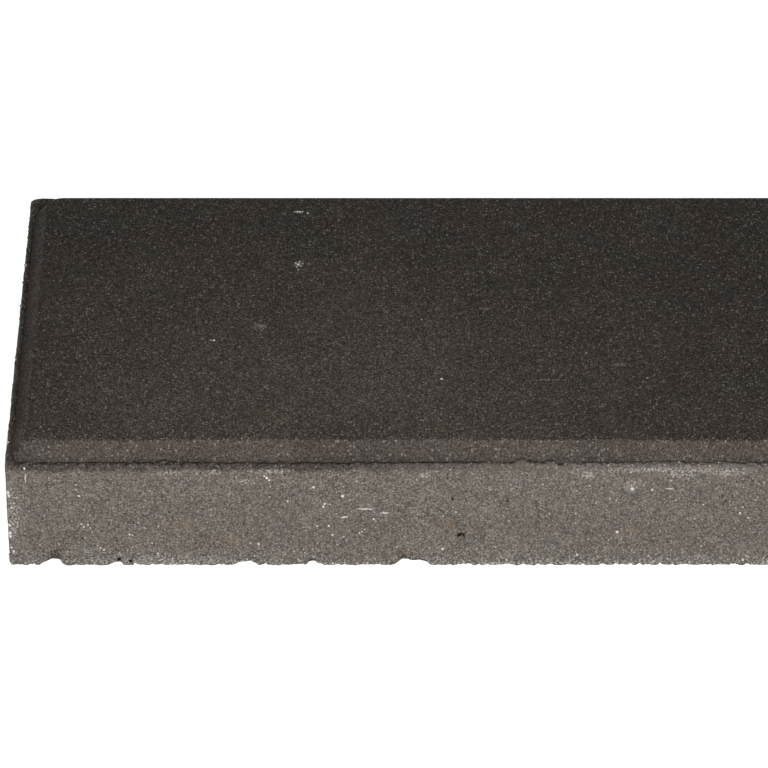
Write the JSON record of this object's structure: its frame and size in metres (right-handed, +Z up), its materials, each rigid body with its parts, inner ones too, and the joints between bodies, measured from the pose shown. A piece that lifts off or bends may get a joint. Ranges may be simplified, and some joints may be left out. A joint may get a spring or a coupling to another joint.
{
  "type": "concrete paving tile",
  "caption": "Rectangular dry-pressed concrete paving tile with a flat wearing face, a pressed bevel with rounded corners and a thin moulded lip round it.",
  "frame": {"origin": "middle of the underside that beds on the ground", "axes": "+X along the length, +Y across the width, +Z up through the thickness to the wearing face"},
  "size_m": [0.3, 0.15, 0.045],
  "materials": {
    "pressed_concrete": "matt charcoal concrete, dense and dark on the wearing face, paler and sandy on the sides, with white lime specks"
  },
  "bodies": {
    "root": {"paving_tile": "pressed_concrete"}
  },
  "joints": []
}
